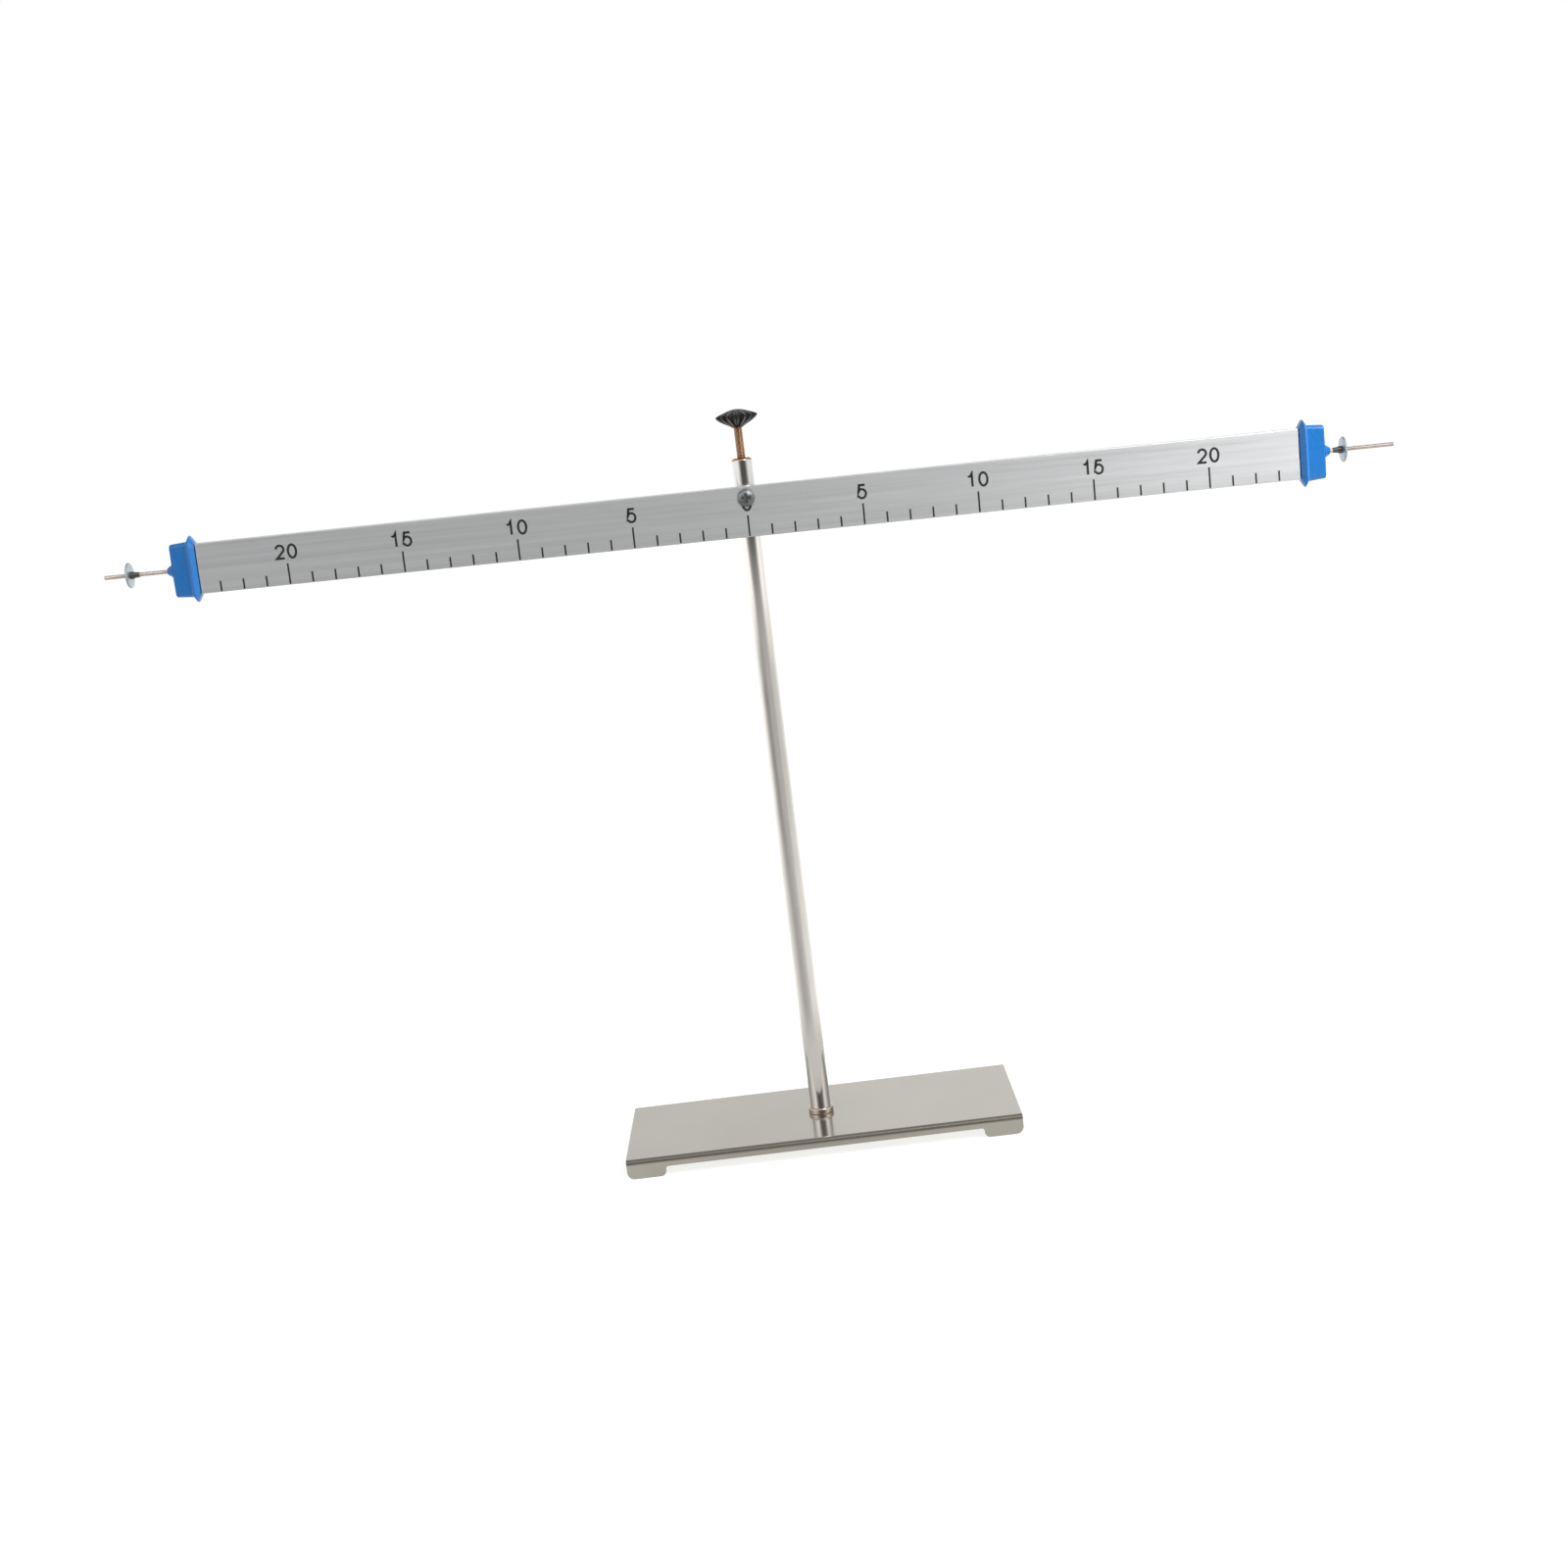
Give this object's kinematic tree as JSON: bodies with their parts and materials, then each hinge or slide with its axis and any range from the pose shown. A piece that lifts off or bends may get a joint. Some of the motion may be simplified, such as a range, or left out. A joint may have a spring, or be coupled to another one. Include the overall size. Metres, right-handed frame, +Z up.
{
  "type": "lever balance",
  "caption": "School lever balance: a scaled aluminium beam with screw balance nuts tilts on a pin in a chromed rod on a sheet steel base.",
  "frame": {"origin": "on the surface it stands on, under the axis of the rod and in the middle of the base", "axes": "+X along the beam to the right as seen from the front, +Y from the front to the back (the beam is in front of the rod), +Z up"},
  "size_m": [0.5615, 0.0724, 0.3304],
  "materials": {
    "nickel_plated_sheet": "satin",
    "chromed_steel": "polished",
    "zinc_plated_steel": "satin",
    "brushed_aluminium": "satin",
    "brass": "satin",
    "blue_plastic": "gloss",
    "black_plastic": "gloss"
  },
  "bodies": {
    "stand": {"base_channel": "nickel_plated_sheet", "base_collar": "chromed_steel", "stand_rod": "chromed_steel", "base_washer": "zinc_plated_steel", "base_nut": "zinc_plated_steel", "pivot_pin": "zinc_plated_steel", "pivot_washer": "zinc_plated_steel"},
    "beam": {"beam_tube": "brushed_aluminium", "pivot_bush": "brass", "left_end_cap": "blue_plastic", "right_end_cap": "blue_plastic", "left_adjuster_rod": "brass", "right_adjuster_rod": "brass", "left_anchor_nut": "zinc_plated_steel", "right_anchor_nut": "zinc_plated_steel"},
    "left_nut_hub": {"left_balance_hub": "brass"},
    "left_nut_disc": {"left_balance_disc": "zinc_plated_steel"},
    "right_nut_hub": {"right_balance_hub": "brass"},
    "right_nut_disc": {"right_balance_disc": "zinc_plated_steel"},
    "thumb_screw_stud": {"thumb_stud": "brass"},
    "thumb_screw_knob": {"thumb_knob": "black_plastic"}
  },
  "joints": [
    {"name": "beam_tilt", "type": "hinge", "parent": "stand", "child": "beam", "pos_m": [0, -0.0103, 0.2924], "axis": [0, -1, 0], "range_deg": [-69, 71]},
    {"name": "left_nut_travel", "type": "slide", "parent": "beam", "child": "left_nut_hub", "axis": [-0.9998, 0, 0.0175], "range_m": [-0.012, 0.0098]},
    {"name": "left_nut_turn", "type": "hinge", "parent": "left_nut_hub", "child": "left_nut_disc", "pos_m": [-0.26506, -0.0103, 0.29103], "axis": [-0.9998, 0, 0.0175], "range_deg": [-10810, 8830]},
    {"name": "right_nut_travel", "type": "slide", "parent": "beam", "child": "right_nut_hub", "axis": [0.9998, 0, -0.0175], "range_m": [-0.001, 0.0205]},
    {"name": "right_nut_turn", "type": "hinge", "parent": "right_nut_hub", "child": "right_nut_disc", "pos_m": [0.25786, -0.0103, 0.2819], "axis": [0.9998, 0, -0.0175], "range_deg": [-910, 18460]},
    {"name": "thumb_screw_lift", "type": "slide", "parent": "stand", "child": "thumb_screw_stud", "axis": [0, 0, 1], "range_m": [0, 0.008]},
    {"name": "thumb_screw_turn", "type": "hinge", "parent": "thumb_screw_stud", "child": "thumb_screw_knob", "pos_m": [0, 0, 0.3265], "axis": [0, 0, 1], "range_deg": [-10, 4130]}
  ],
  "couplings": [
    {"joint": "left_nut_turn", "follows": "left_nut_travel", "rad_per_m": 15708},
    {"joint": "right_nut_turn", "follows": "right_nut_travel", "rad_per_m": 15708},
    {"joint": "thumb_screw_turn", "follows": "thumb_screw_lift", "rad_per_m": 8976}
  ]
}
